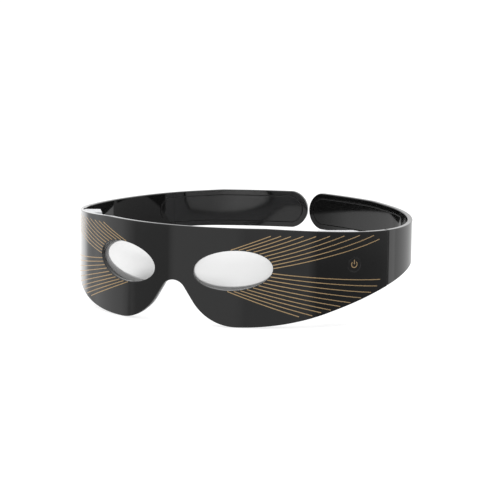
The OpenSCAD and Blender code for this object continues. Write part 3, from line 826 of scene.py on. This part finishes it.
def port_slot(tray):
    """Cuts the slot for the charging plug through the lower wall of the left pod."""
    mesh = Mesh()
    steps = 8
    turn = np.arange(-steps, steps + 1) * pi / (2 * steps)
    end = np.stack([slot_w / 2 - slot_h / 2 + slot_h / 2 * np.cos(turn), slot_h / 2 * np.sin(turn)], 1)
    flat = np.concatenate([end, -end]) + (slot_x, slot_y)
    ahead, inwards = along(np.array([key_s]))[0], -outward(np.array([key_s]))[0]
    plan = flat[:, :1] * ahead + flat[:, 1:] * inwards
    rings = [mesh.ring(place(key_s, 0) + (plan + z * Z) * MM) for z in (slot_low, slot_top)]
    mesh.strips(rings)
    mesh.faces += [tuple(rings[0]), tuple(rings[-1][::-1])]
    tool = mesh.build("slot_tool", liner_grey, sharp=30)
    cut = tray.modifiers.new("slot", "BOOLEAN")
    cut.object, cut.solver = tool, "EXACT"
    whole = tray.evaluated_get(bpy.context.evaluated_depsgraph_get())
    tray.data = bpy.data.meshes.new_from_object(whole)
    tray.modifiers.clear()
    bpy.data.objects.remove(tool)


# Crosshead screws in the pods, as distance from the key and drop from the brow
screw_spots = ((-5, 6.4), (1.5, 30.4))
head_r, well_r, shank_r, shank_start = 1.45, 1.55, 0.8, 1.2
well_floor, head_seat, cross_floor, head_face = 0.9, 0.85, 0.55, 0.1
cross_w, cross_l, cross_corner = 0.22, 0.85, 0.06


def cross(s, z):
    """Outline of the recess in a screw's head, anticlockwise: one limb, and its quarter turns."""
    limb = np.array([(cross_w, cross_w), (cross_w, cross_l), (-cross_w, cross_l)])
    quarter = np.array([[0, 1], [-1, 0]])
    limbs = [limb @ np.linalg.matrix_power(quarter, k) for k in range(4)]
    return softened(np.concatenate(limbs), cross_corner) + (s, z)


def screws():
    mesh = Mesh()
    for hand in (1, -1):
        for x, drop in screw_spots:
            s, z = hand * (key_s + x), band_h - drop
            head = round_loop(s, z, head_r, 40)
            recess = (cross(s, z)[::-1], short_of_floor(cross_floor), cross_edge)
            slab(mesh, [head], short_of_floor(head_seat), short_of_floor(head_face), head_edge,
                 grid(head, *screw_step), recesses=[recess])
            shank = round_loop(s, z, shank_r, 24)
            slab(mesh, [shank], level(shell_t + shank_start), short_of_floor(well_floor), shank_edge,
                 grid(shank, *screw_step))
    piece = mesh.build("crosshead_screws", rolled_steel)
    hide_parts("pod_screws")
    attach(piece, "visor")


# The eye recesses: a ring lines each opening, and a window that bows out rests against its ledge
lens_front, lens_hollow, lens_bow, lens_tilt = 2.1, 2.1, 0.4, 0.01
recess_fall, recess_reach = 0.15, 2.4


def ledge(flat):
    """Depth of the ledge, which lies flat across where the band curves, and leans a little."""
    return lens_front + lens_hollow * (1 - (flat[:, 0] / eye_a) ** 2) - lens_tilt * flat[:, 1]


def eye_point(hand, flat, d, fall=0):
    """Points in an eye opening at depth d, from their places about its centre; they fall as d grows."""
    drop = fall * np.clip(d - shell_t, 0, recess_reach)
    s = eye_s + front_r * np.arcsin(flat[:, 0] / (front_r - d))
    return place(hand * s, eye_z + flat[:, 1] - drop, d)


def eye(hand, name):
    mesh = Mesh()
    grow, half = cup_step + cup_wall, 2
    corners = np.array([(cup_step, -half), (cup_step, 0), (window_step, 0),
                        (window_step, half), (grow, half), (grow, -half)])
    mouth, foot = shell_t + fit, cup_depth
    rings = []
    for g, share in softened(corners, cup_edge):
        flat = oval(g)
        middle = ledge(flat)
        depth = middle + (middle - mouth if share < 0 else foot - middle) * share / half
        fall = recess_fall if g < (window_step + grow) / 2 else 0
        rings.append(mesh.ring(eye_point(hand, flat, depth, fall)))
    mesh.strips(rings + rings[:1])
    ring = mesh.build("eye_ring_" + name, cup_grey, sharp=50)
    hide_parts("eye_cup_" + name)
    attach(ring, "visor")

    mesh = Mesh()
    clear, edge, steps = oval(cup_step - fit), window_step - fit, 24
    rings = []
    for share in 1 - np.arange(steps)[::-1] / steps:
        flat = clear * share
        depth = ledge(flat) + fit - lens_bow * (1 - share ** 2)
        rings.append(mesh.ring(eye_point(hand, flat, depth, recess_fall)))
    for g, behind in ((edge, fit), (edge, window_t - lens_edge), (edge - lens_edge, window_t)):
        flat = oval(g)
        rings.append(mesh.ring(eye_point(hand, flat, ledge(flat) + behind, recess_fall)))
    mesh.strips(rings)
    mesh.faces += [tuple(rings[0]), tuple(rings[-1][::-1])]
    lens = mesh.build("eye_lens_" + name, window_white, sharp=15)
    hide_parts("eye_window_" + name)
    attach(lens, "visor")


# Gold pinstripes that fan out from the outer corner of each eye, as (station, drop) of each far end
upper_ends = ((47.9, 3.4), (52.7, 3.4), (57.4, 3.6), (63.4, 3.6), (69.7, 3.8),
              (76.7, 3.9), (84.2, 4.1), (92.8, 4.3), (101.5, 5.0), (105.4, 7.1))
lower_ends = ((106.3, 26.8), (104.3, 29.8), (100.2, 32.5), (94.1, 34.6), (88.1, 36.5),
              (82.7, 38.0), (77.6, 39.4), (72.8, 40.5), (68.4, 41.8), (61.9, 42.1))
stripe_w, stripe_proud, stripe_root, stripe_gap, stripe_crown = 0.43, 0.03, 0.02, 0.4, 0.9
upper_turn, upper_step, upper_gain, upper_sag = 90, 11.5, 0.15, 0.05
lower_turn, lower_step, lower_sag, lower_loss = 15, 9.35, 0.4, 0.025
stripe_points = 40


def stripe(mesh, hand, turn, end, sag):
    """One pinstripe from the eye's rim, at an angle round the oval, to its far end."""
    start = tilted((eye_a + stripe_gap) * cos(turn), (eye_b + stripe_gap) * sin(turn)) + (eye_s, eye_z)
    end = np.array([end[0], band_h - end[1]])
    f = np.linspace(0, 1, stripe_points)[:, None]
    path = start + (end - start) * f - np.array([0, 4 * sag]) * f * (1 - f)
    heading = unit(np.gradient(path, axis=0))
    across = np.stack([-heading[:, 1], heading[:, 0]], 1) * stripe_w / 2
    rings = []
    for point, reach in zip(path, across):
        crown = reach * stripe_crown
        spots = np.array([point + reach, point + crown, point - crown, point - reach])
        depths = np.array([stripe_root, -stripe_proud, -stripe_proud, stripe_root])
        rings.append(mesh.ring(place(hand * spots[:, 0], spots[:, 1], depths)))
    mesh.strips(rings)
    mesh.faces += [tuple(rings[0]), tuple(rings[-1][::-1])]


def pinstripes(hand, name):
    mesh = Mesh()
    for i, end in enumerate(upper_ends):
        turn = radians(upper_turn - upper_step * i + upper_gain * i * i)
        stripe(mesh, hand, turn, end, upper_sag * i)
    for i, end in enumerate(lower_ends):
        turn = -radians(lower_turn + lower_step * i)
        stripe(mesh, hand, turn, end, lower_sag - lower_loss * i)
    piece = mesh.build("pinstripes_" + name, satin_gold, sharp=30)
    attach(piece, "visor")


# The power key: a polished cap over a flange, with an inlaid open ring and bar
cap_sunk, cap_reach, flange_w, flange_front, flange_back = 0.01, 0.3, 0.9, 0.25, 0.7
inlay_proud, inlay_depth, inlay_corner, inlay_sharp = 0.01, 0.28, 0.14, 0.9
ring_opening, bar_over, ring_points = atan2(2.8, 3), 0.5, 40


def key():
    mesh = Mesh()
    deep = square_to(key_s, temple_r)
    cap, flange = (round_loop(key_s, key_z, r, 64) for r in (key_d / 2, key_d / 2 + flange_w))
    slab(mesh, [cap], level(cap_sunk), level(shell_t + cap_reach), cap_edge, grid(cap, *key_step), [deep])
    slab(mesh, [flange], level(shell_t + flange_front), level(shell_t + flange_back), flange_edge,
         grid(flange, *key_step), [deep])
    cap_piece = mesh.build("key_cap", key_black)
    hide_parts("power_key")
    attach(cap_piece, "key")

    mesh = Mesh()
    turn = np.linspace(pi / 2 + ring_opening, 5 * pi / 2 - ring_opening, ring_points)
    around = np.stack([np.cos(turn), np.sin(turn)], 1)
    ring = np.concatenate([around * symbol_r, around[::-1] * (symbol_r - symbol_w)])
    half, bar_top = symbol_w / 2, symbol_r + bar_over
    bar = np.array([(-half, 0), (half, 0), (half, bar_top), (-half, bar_top)])
    for shape in (ring, bar):
        loop = softened(shape, inlay_corner, corner=inlay_sharp) + (key_s, key_z)
        slab(mesh, [loop], level(-inlay_proud), level(inlay_depth), inlay_edge,
             grid(loop, *inlay_step), [deep])
    mark = mesh.build("key_mark", satin_gold)
    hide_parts("key_symbol")
    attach(mark, "key")


visor()
liner()
screws()
key()
for hand, name in ((1, "left"), (-1, "right")):
    arm(hand, name)
    eye(hand, name)
    pinstripes(hand, name)

# Finishes of the construction's own pieces
finishes = {
    "light_board_left": board_white, "light_board_right": board_white,
    "red_lights_left": red_lens, "red_lights_right": red_lens,
    "infrared_lights_left": dark_lens, "infrared_lights_right": dark_lens,
    "bridge_cable": flex_amber, "board_strap": flex_amber, "battery_strap": flex_amber,
    "main_board": board_green, "board_chips": chip_black, "switch_body": rolled_steel,
    "switch_plunger": chip_black, "port_shell": rolled_steel, "port_tongue": chip_black,
    "battery": cell_foil, "battery_foam": foam_grey,
    "spring_root_left": rolled_steel, "spring_root_right": rolled_steel,
}
for name, material in finishes.items():
    for holder in node[name].material_slots:
        holder.material = material


# Studio: a white floor, grey cards that only reflections see, and soft lamps
def solid(v):
    """A grey as an opaque colour."""
    return grey(v) + (1,)


def emitter(name, tone):
    """Shining material, with its tree and its emission node."""
    made = bpy.data.materials.new(name)
    made.use_nodes = True
    tree = made.node_tree
    tree.nodes.remove(tree.nodes["Principled BSDF"])
    light = add(tree, "Emission", Color=solid(tone))
    tree.links.new(light.outputs["Emission"], tree.nodes["Material Output"].inputs["Surface"])
    return made, tree, light


def floor():
    """White floor: bare white to the camera, less what the object shades."""
    made, tree, light = emitter("floor_white", 1)
    paint = add(tree, "BsdfDiffuse", Color=solid(0.42))
    plain = add(tree, "BsdfDiffuse", Color=solid(0.8))
    light.inputs["Strength"].default_value = 0.72
    shown = add(tree, "AddShader", i0=light.outputs[0], i1=paint.outputs[0])
    seen = add(tree, "LightPath").outputs["Is Camera Ray"]
    mixed = add(tree, "MixShader", Fac=seen, i1=plain.outputs[0], i2=shown.outputs[0])
    tree.links.new(mixed.outputs[0], tree.nodes["Material Output"].inputs["Surface"])
    data = bpy.data.meshes.new("floor")
    half, drop = 6, 0.0002
    corners = [(x, y, -drop) for x, y in ((-half, -half), (half, -half), (half, half), (-half, half))]
    data.from_pydata(corners, [], [(0, 1, 2, 3)])
    data.materials.append(made)
    piece = put("floor", data)
    piece.visible_glossy = False


def card(name, bearings, lifts, tone, sides, ends=(5, 5), radius=2.5, rise=0):
    """Curved card that only reflections see, between two bearings and two heights in degrees.

    Its edges ease to nothing over the given degrees: sides at the two bearings, ends at the two heights.
    Its top edge climbs by rise from the first bearing to the second."""
    made, tree, light = emitter(name, tone)
    spot = add(tree, "SeparateXYZ", Vector=add(tree, "UVMap").outputs["UV"])
    masks = []
    for label, span, soft in (("X", bearings, sides), ("Y", lifts, ends)):
        size = span[1] - span[0]
        fade = add(tree, "ValToRGB", Fac=spot.outputs[label])
        stops = fade.color_ramp.elements
        stops[0].position, stops[1].position = 0, soft[0] / size
        stops.new(1 - soft[1] / size).color = (1, 1, 1, 1)
        stops.new(1).color = (0, 0, 0, 1)
        masks.append(fade.outputs["Color"])
    mask = add(tree, "Math", {"operation": "MULTIPLY"}, i0=masks[0], i1=masks[1])
    clear = tree.nodes.new("ShaderNodeBsdfTransparent")
    mixed = add(tree, "MixShader", Fac=mask.outputs[0], i1=clear.outputs[0], i2=light.outputs[0])
    tree.links.new(mixed.outputs[0], tree.nodes["Material Output"].inputs["Surface"])
    steps = 24
    points = []
    for share in np.linspace(0, 1, steps + 1):
        bearing = radians(bearings[0] + (bearings[1] - bearings[0]) * share)
        for lift in np.radians([lifts[0], lifts[1] + rise * (share - 0.5)]):
            points.append((radius * sin(bearing), -radius * cos(bearing), radius * tan(lift)))
    data = bpy.data.meshes.new(name)
    data.from_pydata(points, [], [(2 * i, 2 * i + 2, 2 * i + 3, 2 * i + 1) for i in range(steps)])
    uv = data.uv_layers.new(name="UVMap")
    for corner, uv_point in zip(data.loops, uv.data):
        uv_point.uv = (corner.vertex_index // 2 / steps, corner.vertex_index % 2)
    data.materials.append(made)
    piece = put(name, data)
    piece.visible_camera = piece.visible_diffuse = piece.visible_shadow = piece.visible_transmission = False


def lamp(name, spot, size, watts):
    """Soft square lamp that shines towards the origin and shows in no reflection."""
    data = bpy.data.lights.new(name, "AREA")
    data.size, data.energy = size, watts
    piece = put(name, data)
    piece.location = spot
    piece.rotation_euler = (-Vector(spot)).to_track_quat("-Z", "Y").to_euler()
    piece.visible_glossy = False
    piece.visible_camera = False


def world():
    """White to the camera and in what the object mirrors, and a little darker as light."""
    made = bpy.data.worlds.new("studio")
    made.use_nodes = True
    tree = made.node_tree
    path = add(tree, "LightPath").outputs
    seen = add(tree, "Math", {"operation": "MAXIMUM"}, i0=path["Is Camera Ray"], i1=path["Is Glossy Ray"])
    seen = add(tree, "Math", {"operation": "MAXIMUM"}, i0=seen.outputs[0], i1=path["Is Transmission Ray"])
    tone = add(tree, "MixRGB", Fac=seen.outputs[0], Color1=solid(0.88), Color2=solid(1))
    tree.links.new(tone.outputs[0], tree.nodes["Background"].inputs["Color"])
    scene.world = made


floor()
card("card_above", (-180, 180), (-6, 60), 1.25, (1, 1), radius=2.54)
card("card_behind", (-175, -112), (-40, 5), 1.8, (8, 9), radius=2.52)
card("card_far_left", (-116, -97), (-40, 0), 0.75, (6, 7), radius=2.50)
card("card_front_left", (-69, -25), (-40, -4.5), 0.46, (13, 7), (5, 2), radius=2.48)
card("card_front", (-32, 18), (-40, -1), 0.91, (7, 7), (5, 6), radius=2.46)
card("card_front_right", (11, 66), (-40, -1), 0.70, (7, 7), (5, 6), radius=2.44)
card("card_right", (56, 130.5), (-40, -1), 0.27, (6, 0.5), (5, 6), radius=2.42)
card("card_strip", (131, 142), (-40, 0), 1.3, (0.5, 3), radius=2.40)
card("card_low_left", (-78, -60), (-40, -15.2), 0.27, (1, 3), (3, 2), radius=2.38, rise=19)
card("card_low_front", (-25, 11), (-40, -11), 0.6, (4, 4), (3, 5), radius=2.36)
lamp("key_lamp", (-1.2, -1.0, 1.6), 1.5, 12)
lamp("top_lamp", (0.2, 0.3, 2.0), 1.5, 8)
world()
scene.view_settings.view_transform = "Standard"
